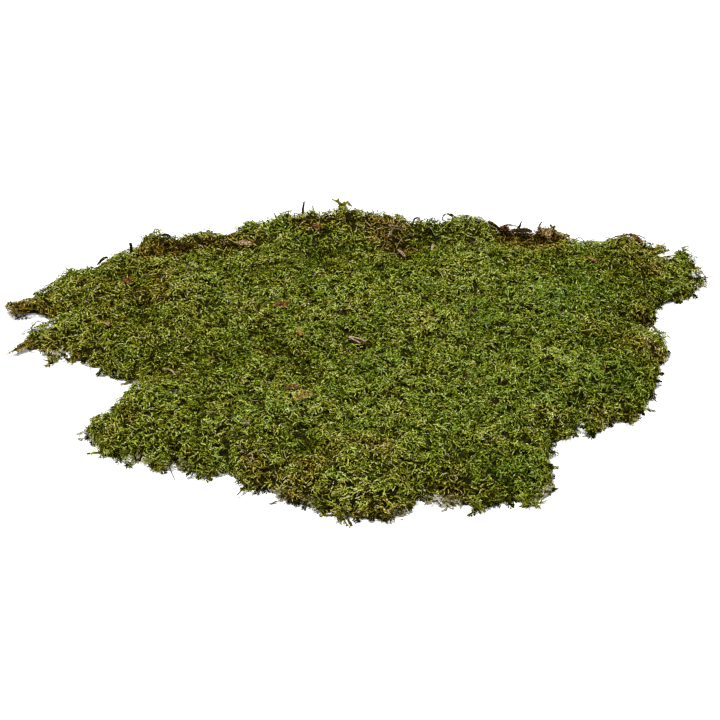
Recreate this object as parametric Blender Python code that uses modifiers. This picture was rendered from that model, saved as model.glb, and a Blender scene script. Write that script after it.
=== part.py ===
"""A torn sheet of carpet moss with the bits of bark, twig and dead leaf caught in it.

Metres, +Z up, +X to the right and +Y away from the viewer.  The sheet lies on its
flat underside at z = 0 and is centred on the origin.
"""
import math

import bmesh
import bpy
import numpy as np
from mathutils import Matrix, Vector, noise
from mathutils.bvhtree import BVHTree

MM = 0.001

# Driving dimensions of the sheet, in millimetres.
SHEET_THICKNESS = 20.0   # from the underside to the general top of the moss
EDGE_WALL = 3.0          # height of the torn edge where the sheet ends
EDGE_ROUND = 21.0        # how far in from the edge the top goes on rising
GRID_STEP = 7.0          # spacing of the points that carry the moss surface
# Lumps follow a noise, each with its wavelength, its height and its own layer of the noise.
CUSHIONS = (26.0, 3.2, 3.0)
TUFTS = (13.0, 1.8, 7.0)
# How far the points of the moss surface wander off their grid, along x and along y.
WANDER_X = (15.0, 0.55 * GRID_STEP, 21.0)
WANDER_Y = (15.0, 0.55 * GRID_STEP, 34.0)

# The torn outline, in millimetres, clockwise from the tongue at the far left.
BACK_LEFT = [
    (-261, 78), (-259, 86), (-251, 85), (-245, 92), (-240, 98), (-232, 107), (-226, 113),
    (-223, 123), (-219, 125), (-213, 119), (-203, 121), (-198, 125), (-190, 137), (-186, 144),
    (-178, 142), (-170, 146), (-170, 155), (-168, 162), (-161, 165), (-154, 161), (-149, 163),
    (-143, 157), (-134, 160), (-126, 165), (-118, 168), (-111, 163), (-103, 161), (-98, 162),
]
BACK = [
    (-96, 174), (-86, 174), (-76, 174), (-68, 178), (-64, 186), (-57, 186), (-50, 183),
    (-40, 185), (-30, 184), (-18, 187), (-12, 193), (0, 190), (6, 184), (18, 186), (28, 181),
    (38, 178), (50, 176), (60, 175), (68, 179), (76, 181), (83, 182), (92, 178), (100, 176),
]
BACK_RIGHT = [
    (108, 173), (118, 172), (126, 174), (133, 167), (138, 172), (147, 174), (151, 170),
    (158, 166), (163, 161), (172, 157), (180, 155), (188, 159), (196, 167), (206, 171),
    (214, 171), (219, 169), (217, 162), (222, 160), (229, 160), (233, 163), (231, 155),
    (225, 148), (227, 144), (234, 146), (240, 149), (246, 156), (251, 155), (253, 147),
    (256, 136), (258, 126), (260, 116), (257, 108), (253, 103), (249, 96), (244, 92),
]
RIGHT = [
    (238, 89), (229, 87), (222, 80), (219, 71), (218, 63), (215, 56), (207, 54), (203, 50),
    (206, 45), (213, 45), (221, 47), (221, 40), (222, 34), (218, 30), (222, 26), (221, 13),
    (216, 8), (215, 0), (213, -8), (211, -18), (208, -28), (203, -36), (200, -44),
    (194, -51), (192, -59), (183, -60), (172, -61), (170, -68), (165, -72), (158, -75),
    (156, -68), (155, -60), (152, -62), (151, -68), (146, -78), (138, -80), (131, -83),
]
FRONT_RIGHT = [
    (131, -90), (128, -95), (130, -102), (128, -110), (130, -124), (128, -135), (121, -143),
    (114, -143), (120, -150), (113, -152), (107, -147), (99, -145), (92, -150), (84, -154),
    (78, -157), (73, -151), (62, -148), (52, -150), (45, -145), (39, -142), (37, -150),
    (31, -158), (24, -160), (19, -166), (8, -163), (-1, -165), (-8, -163), (-14, -169),
]
FRONT_LEFT = [
    (-19, -157), (-28, -159), (-32, -151), (-45, -148), (-55, -140), (-62, -134),
    (-71, -134), (-75, -138), (-80, -128), (-86, -120), (-92, -115), (-105, -122),
    (-110, -116), (-121, -114), (-124, -106), (-127, -99), (-130, -110), (-138, -115),
    (-143, -109), (-148, -102), (-152, -99), (-154, -107), (-161, -108), (-165, -100),
    (-178, -96), (-181, -87), (-187, -78), (-190, -71), (-186, -64), (-179, -59),
]
LEFT = [
    (-172, -53), (-176, -46), (-167, -41), (-165, -30), (-156, -21), (-160, -12),
    (-170, -10), (-175, -3), (-182, -5), (-185, 0), (-184, 4), (-196, 6), (-199, 15),
    (-206, 12), (-210, 12), (-211, 25), (-217, 26), (-219, 11), (-225, 9), (-228, 22),
    (-234, 27), (-242, 32), (-244, 40), (-242, 54), (-234, 58), (-227, 62), (-236, 71),
    (-244, 75), (-250, 68), (-257, 70),
]
OUTLINE = BACK_LEFT + BACK + BACK_RIGHT + RIGHT + FRONT_RIGHT + FRONT_LEFT + LEFT

# Cushions that stand up and hollows that sink: x, y, radius, height, in millimetres.
MOUNDS = [
    (-10, 70, 60, 3), (40, 30, 38, 3), (135, 62, 48, 4), (150, -15, 36, 3), (75, 112, 24, 3),
    (-130, 85, 28, 3), (-130, 52, 24, 2), (-65, -22, 17, 5), (-60, -72, 42, 4),
    (-130, -48, 32, 3), (90, -82, 46, 3), (-5, -130, 24, 4), (85, -134, 17, 3),
    (-30, 14, 18, 3), (110, -32, 28, 2),
]
HOLLOWS = [
    (-68, 26, 13, -6), (-60, 2, 15, -5), (-42, -14, 13, -6), (-10, 2, 15, -5),
    (-161, 66, 14, -5), (-160, 46, 13, -5), (-178, 96, 11, -3), (-118, 50, 10, -4),
    (35, 5, 10, -4), (35, -27, 12, -3), (112, 8, 9, -4), (172, 8, 12, -4), (185, 38, 15, -4),
    (180, -51, 22, -5), (135, -80, 15, -4), (-140, -16, 18, -4), (-105, -54, 9, -3),
    (-110, -100, 18, -3), (-40, -96, 15, -5), (-62, -130, 11, -3), (55, -146, 18, -5),
    (92, -149, 15, -4), (25, 142, 22, -6), (58, 145, 20, -6), (-35, 128, 14, -6),
    (-5, 142, 18, -4), (-120, 134, 20, -5), (-78, 140, 11, -5), (115, 150, 11, -5),
    (210, 80, 18, -3), (235, 100, 9, -3), (195, 126, 12, -4),
]
# The rolled-up rims along the far side: points, half width and height, in millimetres.
RIMS = [
    ([(-84, 166), (-58, 172), (-30, 174), (0, 176), (30, 170), (60, 164), (92, 168)], 13, 10),
    ([(-164, 150), (-140, 152), (-118, 158), (-100, 155)], 10, 6),
    ([(112, 164), (142, 162)], 9, 5),
]
# Where the sheet thins out to a few strands: x, y, radius, share of thickness lost.
THIN_PLACES = [
    (-250, 66, 42, 0.55), (-228, 24, 34, 0.5), (248, 118, 40, 0.65), (226, 150, 18, 0.45),
    (-200, 10, 18, 0.3), (218, 38, 16, 0.3), (120, -148, 12, 0.35), (-155, -106, 16, 0.3),
]

# Colour and roughness of what the sheet and the bits in it are made of.
FINISHES = {
    "moss_green": ((0.105, 0.130, 0.018), 0.85),
    "bark_dark": ((0.045, 0.022, 0.016), 0.85),
    "bark_red": ((0.160, 0.045, 0.030), 0.75),
    "bark_pale": ((0.420, 0.240, 0.160), 0.70),
    "dead_leaf": ((0.210, 0.085, 0.040), 0.75),
    "golden_leaf": ((0.420, 0.260, 0.060), 0.70),
    "straw": ((0.480, 0.370, 0.200), 0.60),
    "twig": ((0.060, 0.040, 0.028), 0.85),
}
# Flat bits of bark and leaf: place on the sheet, turn about the vertical in degrees,
# length, width and thickness, then how far they are bowed along and rolled across.
SCRAPS = {
    "split_needle": (-2, 10.5, -34, 15.0, 4.6, 0.6, 14, 60, "bark_pale"),
    "red_leaf_scrap": (-57, 54, -3, 12.5, 7.5, 0.6, 45, 80, "dead_leaf"),
    "orange_flake": (-43, 19, -82, 10.0, 2.9, 0.7, 20, 45, "bark_pale"),
    "brown_leaf_scrap": (-46, -48, 8, 12.0, 6.0, 0.6, 35, 70, "dead_leaf"),
    "golden_leaf_curl": (-39, -58.5, 42, 15.5, 9.5, 0.6, 75, 70, "golden_leaf"),
    "seed_flake": (-77, -89.5, 38, 6.0, 4.2, 0.8, 25, 60, "bark_pale"),
    "curved_bark_strip": (31, 131, -68, 17.0, 3.4, 0.8, 40, 70, "bark_pale"),
    "pale_straw_strip": (55, 141, -98, 8.5, 2.2, 0.6, 25, 50, "straw"),
    "red_bark_strip": (-31.5, 158, -6, 10.5, 3.0, 0.8, 18, 60, "bark_red"),
    "grey_bark_flake": (-87, 141, 10, 12.0, 4.6, 0.8, 25, 40, "bark_pale"),
    "dark_leaf_scrap": (-195, 123, -12, 10.5, 8.0, 0.6, 80, 70, "bark_dark"),
    "dark_crescent": (-147, 146.5, 12, 7.5, 3.4, 0.7, 80, 30, "bark_dark"),
    "wood_chip": (-134, 139, 5, 9.5, 3.2, 0.9, 12, 30, "twig"),
    "red_fleck": (-172, 91, 6, 9.0, 5.0, 0.6, 30, 60, "dead_leaf"),
    "long_bark_strip": (121, 152.5, -5, 21.5, 3.4, 0.9, 60, 55, "bark_red"),
    "crumpled_leaf": (142, 151, -8, 20.0, 8.5, 0.7, -200, 35, "dead_leaf"),
    "crumpled_leaf_edge": (155, 150, 12, 11.0, 6.0, 0.7, 40, 60, "dead_leaf"),
    "rim_bark_flake": (212.5, 158.5, -4, 13.5, 6.0, 0.8, 30, 40, "bark_dark"),
    "tan_needle_strip": (174, 117, -37, 9.0, 3.0, 0.6, 18, 60, "bark_pale"),
    "tan_leaf_bit": (-183, 36, -50, 7.5, 3.4, 0.6, 25, 50, "straw"),
}
SCRAP_FACES = (6, 2)      # faces along and across a flat bit
TORN = 0.35               # how far its torn outline wanders, as a share of its width
NARROWEST = 0.3           # its width at the ends, as a share of its full width
# Bits that have split along their middle into two prongs still joined at both ends.
SPLIT = ["split_needle"]
SPLIT_FACES = (6, 5)
SPLIT_LENGTH = 0.3        # half the length of the split, as a share of the bit's length
SPLIT_WIDTH = 0.1         # half its width, as a share of the bit's width
# Round bits, as runs of points about their own middle, with a thick and a thin end.
STEMS = {
    "pink_straw": (-124.5, 105.5, -52, [(-5.5, 0, 0), (-2, 0.3, 0.8), (2.5, 0.2, 0.7), (5.5, 0, 0)],
                   1.3, 1.0, "straw"),
    "reddish_twig": (-134.5, -23, -40, [(-6, 0, 0), (-1.5, 0.5, 0.6), (3, 0, 0.4), (6, -1, 0)],
                     1.8, 1.1, "bark_red"),
    "straw_ring": (-74, -121, 0, [(-1.6, 3.2, 0), (1.2, 3.1, 1.0), (2.6, 1.1, 1.5), (2.4, -1.5, 1.4),
                                  (0.6, -3.2, 1.0), (-1.6, -3.4, 0.4), (-2.6, -1.8, 0)],
                   1.1, 0.9, "straw"),
    "twig_stub": (-172.6, 128.5, 0, [(0, 0, 0), (0.3, 0, 2.4), (0.3, 0, 4.8), (0.2, 0, 7.2)],
                  2.8, 2.5, "twig"),
    "bark_splinter": (122.5, 157, 0, [(-1.8, 0, 0), (-1.2, 0, 3), (0.2, 0, 6), (0.8, 0, 8)],
                      3.0, 0.8, "bark_dark"),
    "bark_curl": (102.5, 157.5, -8, [(-5.4, 1, 1.2), (-3, 0.5, 1.7), (0.5, 0, 1.3), (3, -0.5, 0.5),
                                     (4.2, -1.2, 0)], 1.6, 2.4, "bark_dark"),
}
# A broken lump of bark: place, turn, size, then how uneven it is and how finely.
CHUNK = (110.5, 156.8, 15, (6.5, 4.5, 4.2), 0.35, 4.0, "bark_red")
CLEARANCE = 0.4           # air between a loose bit and the moss under it
SEAT_MARGIN = 5.0         # how far the flat seat under a bit runs on past its end
SLOPE_REACH = 4.0         # over what distance the slope under a bit is measured
EDGE_STEPS = 6            # places along each edge of a bit at which its gap is measured
WELD = 0.02               # points of one seam lie nearer together than this


def empty_scene():
    for thing in list(bpy.data.objects):
        bpy.data.objects.remove(thing)


def collection(name):
    found = bpy.data.collections.new(name)
    bpy.context.scene.collection.children.link(found)
    return found


def move_to(thing, home):
    for old in list(thing.users_collection):
        old.objects.unlink(thing)
    home.objects.link(thing)


def finish(name):
    """The one material of that name, made the first time it is asked for."""
    if name in bpy.data.materials:
        return bpy.data.materials[name]
    colour, roughness = FINISHES[name]
    material = bpy.data.materials.new(name)
    material.use_nodes = True
    shader = material.node_tree.nodes["Principled BSDF"]
    shader.inputs["Base Color"].default_value = (*colour, 1.0)
    shader.inputs["Roughness"].default_value = roughness
    shader.inputs["Metallic"].default_value = 0.0
    return material


def distance_to_line(x, y, points, closed):
    """Distance from each (x, y) to a run of straight stretches."""
    nearest = np.full(x.shape, np.inf)
    ends = points[1:] + points[:1] if closed else points[1:]
    for (ax, ay), (bx, by) in zip(points, ends):
        run_x = bx - ax
        run_y = by - ay
        along = ((x - ax) * run_x + (y - ay) * run_y) / (run_x ** 2 + run_y ** 2)
        along = np.clip(along, 0.0, 1.0)
        gap = np.hypot(x - ax - along * run_x, y - ay - along * run_y)
        nearest = np.minimum(nearest, gap)
    return nearest


def inside_outline(x, y):
    """True where (x, y) is inside the torn outline, by counting crossings."""
    inside = np.zeros(x.shape, bool)
    for (ax, ay), (bx, by) in zip(OUTLINE, OUTLINE[1:] + OUTLINE[:1]):
        if ay == by:
            continue
        spans = (ay > y) != (by > y)
        cross = ax + (y - ay) * (bx - ax) / (by - ay)
        inside ^= spans & (x < cross)
    return inside


def bump(x, y, centre_x, centre_y, radius):
    return np.exp(-((x - centre_x) ** 2 + (y - centre_y) ** 2) / radius ** 2)


def lumps(x, y, wavelength, height, layer):
    """Rounded lumps of one size, the same on every run."""
    flat = [
        noise.noise(Vector((px / wavelength, py / wavelength, layer)) * 2.0)
        for px, py in zip(x.ravel(), y.ravel())
    ]
    return height * np.array(flat).reshape(x.shape)


def broad_height(x, y):
    """The sheet's thickness from its mounds, hollows and rims alone."""
    height = np.full(x.shape, SHEET_THICKNESS)
    for centre_x, centre_y, radius, rise in MOUNDS + HOLLOWS:
        height += rise * bump(x, y, centre_x, centre_y, radius)
    for points, half_width, rise in RIMS:
        height += rise * np.exp(-(distance_to_line(x, y, points, False) / half_width) ** 2)
    for centre_x, centre_y, radius, lost in THIN_PLACES:
        height *= 1.0 - lost * bump(x, y, centre_x, centre_y, radius)
    return height


def seats():
    """Where each loose bit lies and how far the moss is pressed flat around it."""
    for x, y, _, length, *_ in SCRAPS.values():
        yield x, y, 0.5 * length + SEAT_MARGIN
    for x, y, _, points, *_ in STEMS.values():
        yield x, y, max(abs(point[0]) for point in points) + SEAT_MARGIN
    yield CHUNK[0], CHUNK[1], 0.5 * CHUNK[3][0] + SEAT_MARGIN


def slope_at(height, x, y, reach):
    """Height and slope of a surface at one place, over a short reach."""
    near_x = np.array([x, x - reach, x + reach, x, x], float)
    near_y = np.array([y, y, y, y - reach, y + reach], float)
    middle, left, right, front, back = height(near_x, near_y)
    return middle, (right - left) / (2 * reach), (back - front) / (2 * reach)


def sheet_height(x, y):
    """Height of the moss above its underside, in millimetres."""
    height = broad_height(x, y)
    height += lumps(x, y, *CUSHIONS)
    height += lumps(x, y, *TUFTS)
    for seat_x, seat_y, reach in seats():
        middle, along_x, along_y = slope_at(broad_height, seat_x, seat_y, reach)
        level = middle + along_x * (x - seat_x) + along_y * (y - seat_y)
        pressed = np.exp(-(np.hypot(x - seat_x, y - seat_y) / reach) ** 4)
        height += pressed * (level - height)
    from_edge = distance_to_line(x, y, OUTLINE, True)
    from_edge = np.where(inside_outline(x, y), from_edge, 0.0)
    rise = np.clip(from_edge / EDGE_ROUND, 0.0, 1.0)
    rounding = np.sqrt(1.0 - (1.0 - rise) ** 2)
    return EDGE_WALL + (height - EDGE_WALL) * rounding


def moss_block():
    """A closed block whose top is the moss surface and which ends below the underside."""
    margin = 3 * GRID_STEP
    low_x = min(x for x, _ in OUTLINE) - margin
    high_x = max(x for x, _ in OUTLINE) + margin
    low_y = min(y for _, y in OUTLINE) - margin
    high_y = max(y for _, y in OUTLINE) + margin
    columns = round((high_x - low_x) / GRID_STEP)
    rows = round((high_y - low_y) / GRID_STEP)
    bpy.ops.mesh.primitive_grid_add(x_subdivisions=columns, y_subdivisions=rows, size=1.0)
    block = bpy.context.object
    block.name = "moss_mat"
    work = bmesh.new()
    work.from_mesh(block.data)
    work.verts.ensure_lookup_table()
    place = np.array([vert.co[:2] for vert in work.verts])
    x = low_x + (place[:, 0] + 0.5) * (high_x - low_x)
    y = low_y + (place[:, 1] + 0.5) * (high_y - low_y)
    x = x + lumps(x, y, *WANDER_X)
    y = y + lumps(x, y, *WANDER_Y)
    z = sheet_height(x, y)
    for vert, px, py, pz in zip(work.verts, x, y, z):
        vert.co = Vector((px, py, pz)) * MM
    rim = [edge for edge in work.edges if edge.is_boundary]
    skirt = bmesh.ops.extrude_edge_only(work, edges=rim)["geom"]
    for item in skirt:
        if isinstance(item, bmesh.types.BMVert):
            item.co.z = -SHEET_THICKNESS * MM
    open_edges = [edge for edge in work.edges if edge.is_boundary]
    bmesh.ops.edgeloop_fill(work, edges=open_edges)
    bmesh.ops.recalc_face_normals(work, faces=work.faces)
    work.to_mesh(block.data)
    work.free()
    return block


def outline_cutter(home):
    """The torn outline as an upright prism standing on the underside."""
    reach = 3 * SHEET_THICKNESS * MM
    curve = bpy.data.curves.new("torn_outline", "CURVE")
    curve.dimensions = "2D"
    curve.fill_mode = "BOTH"
    curve.extrude = reach / 2
    spline = curve.splines.new("POLY")
    spline.points.add(len(OUTLINE) - 1)
    for point, (x, y) in zip(spline.points, OUTLINE):
        point.co = (x * MM, y * MM, 0.0, 1.0)
    spline.use_cyclic_u = True
    drawn = bpy.data.objects.new("torn_outline_curve", curve)
    home.objects.link(drawn)
    drawn.location.z = reach / 2
    return as_mesh(drawn, "torn_outline", home)


def as_mesh(source, name, home):
    """The evaluated shape of an object as a plain mesh object with its seams joined."""
    bpy.context.view_layer.update()
    graph = bpy.context.evaluated_depsgraph_get()
    mesh = bpy.data.meshes.new_from_object(source.evaluated_get(graph))
    solid = bpy.data.objects.new(name + "_solid", mesh)
    solid.matrix_world = source.matrix_world
    home.objects.link(solid)
    bpy.data.objects.remove(source)
    solid.name = name
    work = bmesh.new()
    work.from_mesh(mesh)
    bmesh.ops.remove_doubles(work, verts=work.verts, dist=WELD * MM)
    bmesh.ops.recalc_face_normals(work, faces=work.faces)
    work.to_mesh(mesh)
    work.free()
    return solid


def moss_mat(home, cutters):
    """The sheet itself: the block cut to the torn outline and to its flat underside."""
    block = moss_block()
    move_to(block, home)
    cutter = outline_cutter(cutters)
    cutter.hide_render = True
    cutter.display_type = "WIRE"
    cut = block.modifiers.new("torn_edge", "BOOLEAN")
    cut.operation = "INTERSECT"
    cut.solver = "EXACT"
    cut.object = cutter
    sheet = as_mesh(block, "moss_mat", home)
    sheet.data.materials.clear()
    sheet.data.materials.append(finish("moss_green"))
    return sheet


def split_open(mesh):
    """Take the faces out of a flat bit's middle, which leaves two prongs joined at the ends."""
    work = bmesh.new()
    work.from_mesh(mesh)
    gap = []
    for face in work.faces:
        along, across, _ = face.calc_center_median()
        if abs(along) < SPLIT_LENGTH and abs(across) < SPLIT_WIDTH:
            gap.append(face)
    bmesh.ops.delete(work, geom=gap, context="FACES")
    work.to_mesh(mesh)
    work.free()


def scrap(name, length, width, thickness, bow, roll, material, layer):
    """A thin bit of bark or leaf, bowed along its length and rolled across it."""
    columns, rows = SPLIT_FACES if name in SPLIT else SCRAP_FACES
    bpy.ops.mesh.primitive_grid_add(x_subdivisions=columns, y_subdivisions=rows, size=1.0)
    bit = bpy.context.object
    bit.name = name
    if name in SPLIT:
        split_open(bit.data)
    bow = math.radians(bow)
    roll = math.radians(roll)
    for vert in bit.data.vertices:
        along = vert.co.x
        across = vert.co.y
        torn = TORN * noise.noise(Vector((along * 4.0, across * 2.0, layer)))
        taper = max(NARROWEST, (1.0 - abs(2.0 * along) ** 3) ** 0.5) + torn
        side = across * width * taper
        arc = bow * along
        curl = roll * across
        lift = length / bow * (math.cos(arc) - 1.0) - side * math.tan(0.5 * curl)
        vert.co = Vector((length / bow * math.sin(arc), side, lift)) * MM
    shell = bit.modifiers.new("thickness", "SOLIDIFY")
    shell.thickness = thickness * MM
    shell.offset = 0.0
    bit.data.materials.append(finish(material))
    return bit


def stem(name, points, thick, thin, material, home):
    """A round bit that narrows from one end to the other, with closed ends."""
    curve = bpy.data.curves.new(name, "CURVE")
    curve.dimensions = "3D"
    curve.bevel_depth = 0.5 * thick * MM
    curve.bevel_resolution = 1
    curve.use_fill_caps = True
    spline = curve.splines.new("POLY")
    spline.points.add(len(points) - 1)
    for index, (point, place) in enumerate(zip(spline.points, points)):
        share = index / (len(points) - 1)
        point.co = (*(Vector(place) * MM), 1.0)
        point.radius = 1.0 + share * (thin / thick - 1.0)
    drawn = bpy.data.objects.new(name, curve)
    home.objects.link(drawn)
    curve.materials.append(finish(material))
    return drawn


def bark_chunk(name, size, uneven, fineness, material):
    """A broken lump of bark: a coarse ball, swollen and dented, and then stretched."""
    bpy.ops.mesh.primitive_ico_sphere_add(subdivisions=2, radius=0.5)
    lump = bpy.context.object
    lump.name = name
    for vert in lump.data.vertices:
        swell = 1.0 + uneven * noise.noise(vert.co * fineness)
        vert.co = Vector((vert.co[axis] * size[axis] * swell for axis in range(3))) * MM
    lump.data.materials.append(finish(material))
    return lump


def top_of(tree, x, y):
    """Height of a surface at (x, y) as seen from above, or of the resting plane."""
    hit = tree.ray_cast(Vector((x, y, 1.0)), Vector((0.0, 0.0, -1.0)))[0]
    return hit.z if hit else 0.0


def points_along_edges(mesh):
    """Places spaced along every edge of a mesh, both ends included."""
    for edge in mesh.edges:
        start = mesh.vertices[edge.vertices[0]].co
        end = mesh.vertices[edge.vertices[1]].co
        for step in range(EDGE_STEPS + 1):
            yield start.lerp(end, step / EDGE_STEPS)


def set_down(bit, surface, tree, x, y, turn):
    """Turn a bit to its place, tip it to the slope there and lower it onto the moss."""
    _, along_x, along_y = slope_at(sheet_height, x, y, SLOPE_REACH)
    upright = Vector((-along_x, -along_y, 1.0)).normalized()
    tip = Vector((0.0, 0.0, 1.0)).rotation_difference(upright).to_matrix()
    spin = Matrix.Rotation(math.radians(turn), 3, "Z")
    place = Matrix.Translation(Vector((x, y, 0.0)) * MM) @ (tip @ spin).to_4x4()
    bit.data.transform(place)
    gaps = [point.z - top_of(tree, point.x, point.y) for point in points_along_edges(bit.data)]
    own = BVHTree.FromPolygons(
        [vert.co for vert in bit.data.vertices],
        [face.vertices for face in bit.data.polygons],
    )
    corners = np.array([vert.co[:2] for vert in bit.data.vertices])
    flat = surface[:, :2]
    near = np.all((flat > corners.min(axis=0)) & (flat < corners.max(axis=0)), axis=1)
    for px, py, pz in surface[near]:
        hit = own.ray_cast(Vector((px, py, -1.0)), Vector((0.0, 0.0, 1.0)))[0]
        if hit:
            gaps.append(hit.z - pz)
    drop = min(gaps) - CLEARANCE * MM
    bit.data.transform(Matrix.Translation((0.0, 0.0, -drop)))


def caught_bits(home, sheet):
    """Every loose bit, each lowered onto the finished sheet."""
    tree = BVHTree.FromPolygons(
        [vert.co for vert in sheet.data.vertices],
        [face.vertices for face in sheet.data.polygons],
    )
    surface = np.array([point[:] for point in points_along_edges(sheet.data)])
    for layer, (name, (x, y, turn, *shape)) in enumerate(SCRAPS.items()):
        bit = scrap(name, *shape, layer + 0.5)
        move_to(bit, home)
        set_down(as_mesh(bit, name, home), surface, tree, x, y, turn)
    for name, (x, y, turn, *shape) in STEMS.items():
        bit = stem(name, *shape, home)
        set_down(as_mesh(bit, name, home), surface, tree, x, y, turn)
    x, y, turn, *shape = CHUNK
    lump = bark_chunk("bark_chunk", *shape)
    move_to(lump, home)
    set_down(lump, surface, tree, x, y, turn)


def centre_on_origin(home):
    """Bring the middle of everything's footprint over the origin."""
    corners = [vert.co for solid in home.objects for vert in solid.data.vertices]
    middle_x = 0.5 * (min(p.x for p in corners) + max(p.x for p in corners))
    middle_y = 0.5 * (min(p.y for p in corners) + max(p.y for p in corners))
    for solid in home.objects:
        solid.data.transform(Matrix.Translation((-middle_x, -middle_y, 0.0)))


def main():
    empty_scene()
    parts = collection("moss_sheet")
    cutters = collection("cutters")
    sheet = moss_mat(parts, cutters)
    caught_bits(parts, sheet)
    centre_on_origin(parts)


main()
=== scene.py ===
"""The moss mat's looks: leafy shoots over the whole sheet, and the bits caught in it."""
import math

import bmesh
import bpy
import numpy as np
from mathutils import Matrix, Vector, noise
from mathutils.bvhtree import BVHTree
from mathutils.kdtree import KDTree


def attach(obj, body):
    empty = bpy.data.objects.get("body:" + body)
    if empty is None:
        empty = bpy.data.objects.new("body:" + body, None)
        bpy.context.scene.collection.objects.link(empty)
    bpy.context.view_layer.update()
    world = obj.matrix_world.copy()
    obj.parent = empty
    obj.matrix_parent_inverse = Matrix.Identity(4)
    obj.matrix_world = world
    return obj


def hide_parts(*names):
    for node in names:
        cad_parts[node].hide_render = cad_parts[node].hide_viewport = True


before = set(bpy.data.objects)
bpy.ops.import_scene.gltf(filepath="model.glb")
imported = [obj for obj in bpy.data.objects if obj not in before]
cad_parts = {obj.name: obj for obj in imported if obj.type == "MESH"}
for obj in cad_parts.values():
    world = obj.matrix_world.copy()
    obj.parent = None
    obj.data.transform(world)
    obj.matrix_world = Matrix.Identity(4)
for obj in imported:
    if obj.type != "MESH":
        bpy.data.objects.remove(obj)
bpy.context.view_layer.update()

MM = 0.001
SEED = 41
RNG = np.random.default_rng(SEED)
noise.seed_set(SEED)  # noise_vector would start from the clock
spread = RNG.uniform  # random values between two bounds
vary = RNG.normal  # random values around a middle, and how far they differ from it

# The view: the photo looks along +Y and down, with a long lens.
VIEW_HEIGHT = math.radians(36.0)
VIEW_DISTANCE = 1.75
VIEW_TARGET = Vector((0.0005, -0.012, 0.012))
FOCAL_LENGTH = 122.5
SENSOR = 36.0

# The light: a wide, soft sun and a white room over a pale floor.
SUN = 5.6
SUN_WIDTH = math.radians(24.0)
SUN_FROM = Vector((-0.18, -0.10, 1.0))
ROOM_LIGHT = 0.5
FLOOR_SIZE = 6.0
FLOOR_GAP = 0.25  # nothing comes nearer to the floor than this, in millimetres

# One leafy shoot, in millimetres and degrees.
LEAVES = 7
LEAF_LENGTH = 2.05
LEAF_WIDTH = 0.84
LEAF_FOLD = 0.42  # where a leaf bends over, as a share of its length
LEAF_BEND = 0.55  # how far it bends there
LEAF_TAPER = 0.3  # how much smaller leaves get towards the tip
LEAF_TURNS = (-60.0, 8.0, 60.0, -8.0)
TURN_CHANGE = 0.22  # in radians
LEAN_AT_FOOT = 16.0  # how far leaves stand off the stem
LEAN_AT_TIP = 10.0
LEAN_CHANGE = 0.12  # in radians
LIE = 0.35  # how strongly shoots turn to the mat's long axis

# Tones from 0 dark to 1 light, and what changes them.
SHOOT_TONE = 0.668  # a shoot with its tip at the surface
SINK_SHADE = 0.085  # painted shade: darker for each millimetre deeper
SHOOT_CHANGE = 0.18
LEAF_CHANGE = 0.12
FOOT_SHADE = 0.34  # painted shade: darker at the foot of a shoot, deep in the mat
CROWN_LIGHT = 0.35  # painted light: lighter for each millimetre up from the stem
FLANK_SHADE = 1.0  # and painted shade: darker for each millimetre aside
LEAF_LIGHT = 0.1
# Painted highlight on the tip of every leaf.
TIP_LIGHT = 0.05
GLINTS = 0.06  # share of leaves given a painted glint
# How much lighter a painted glint makes a leaf.
GLINT_LIGHT = 0.3
HOLLOW_SHADE = 0.15  # painted shade: darker in a hollow of depth 1
SWELL_SHADE = 0.13  # and painted light: lighter on a swell
BROWN_SHADE = 0.3  # darker where the moss is brown
FRESH_SHOOTS = 0.07  # share of shoots
FRESH_LIGHT = 0.16
OLD_SHOOTS = 0.07
OLD_SHADE = 0.1
OLD_BROWN = 0.33
RIM_WIDTH = 3.5  # how far in from the edge shoots get painted shade and are browner
RIM_BROWN = 0.05
BACK_SIDE = 60.0  # the y behind which all shoots at the rim get painted shade
# How much painted shade the back rim gets.
BACK_SHADE = 0.22
# Painted shade on fronds at the rim.
FROND_SHADE = 0.2
# Painted shade on the fringe that sticks out of the edge.
FRINGE_SHADE = 0.5
SIDE_BROWN = 0.012  # from the middle of a leaf to its left or right corner
PATCH_REACH = 1.3  # of a colour patch, against its radius

# The shoots of the mat and of its edge, in millimetres.
TUFT_SHOOTS = 38500
TUFTS = 2600
TUFT_REACH = 5.2  # from a tuft's middle to the gap around it
TUFT_DOME = 1.2  # how much lower a tuft is at its edge
TUFT_RISE = 0.8  # how far its middle stands over the solid
SLOPE_SINK = 2.8  # how much deeper shoots lie on an upright side
HOLLOW_SINK = 0.8  # and in a hollow
FRONDS = 1300
STEMS = 3  # lengths of stem in a frond
SIDE_SHOOTS = 8
STEM_STEP = 3.6
SIDE_STEP = 1.25
EDGE_SHOOTS = 6500
FRINGE = 300  # small fronds that stick out of the torn edge
FRINGE_STEP = 1.0
FRINGE_ROOT = 2.0  # they start this far inside the edge
FRINGE_REACH = 11.0  # and are at most this long
SPRIG_SIZE = 1.6  # leaves of the single sprigs against those of the mat
SPRIG_STAND = 2.4  # and how much further they stand off the stem
SPRIG_TONE = 0.58
SPRIG_JOINTS = 26
# Pale leaves under the edge: partly bleached leaves, partly painted light.
BLEACHED_LIT_SIZE = 1.6
BLEACHED_LIT_STAND = 2.0
BLEACHED_LIT_TONE = 0.68
LOOSE_FIBRES = 260  # straws and old stems lying anywhere in the moss

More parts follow.
